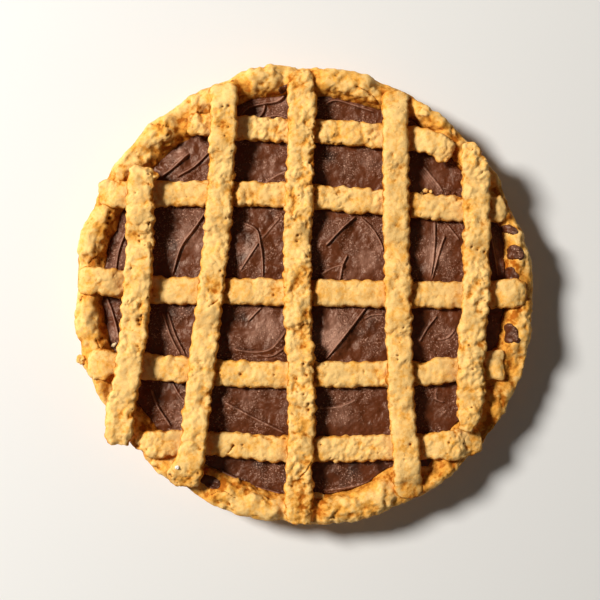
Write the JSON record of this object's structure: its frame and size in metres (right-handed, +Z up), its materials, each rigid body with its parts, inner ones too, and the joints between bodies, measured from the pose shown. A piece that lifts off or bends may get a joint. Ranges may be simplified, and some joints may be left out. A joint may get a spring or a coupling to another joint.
{
  "type": "lattice tart",
  "caption": "Round chocolate hazelnut lattice tart: a hand-pressed shortcrust case, a spread filling, and scalloped dough strips laid across it in two directions.",
  "frame": {"origin": "centre of the tart's plan box, on the plane that the case's flat underside rests on", "axes": "+Z up, through the lattice side; +X to the right and +Y away from the viewer as the tart lies in the picture, so the lower strips run along X and the upper strips along Y"},
  "size_m": [0.24, 0.2412, 0.0324],
  "materials": {
    "baked_case": "matt golden baked shortcrust, browner in its pits and low places",
    "chocolate_hazelnut": "satin milk-brown hazelnut spread with spatula ridges",
    "baked_strips": "matt golden baked shortcrust, pale on top and browner at its edges"
  },
  "bodies": {
    "root": {"crust_case": "baked_case", "hazelnut_filling": "chocolate_hazelnut", "cross_strip_1": "baked_strips", "cross_strip_2": "baked_strips", "cross_strip_3": "baked_strips", "cross_strip_4": "baked_strips", "cross_strip_5": "baked_strips", "top_strip_1": "baked_strips", "top_strip_2": "baked_strips", "top_strip_3": "baked_strips", "top_strip_4": "baked_strips", "top_strip_5": "baked_strips"}
  },
  "joints": []
}
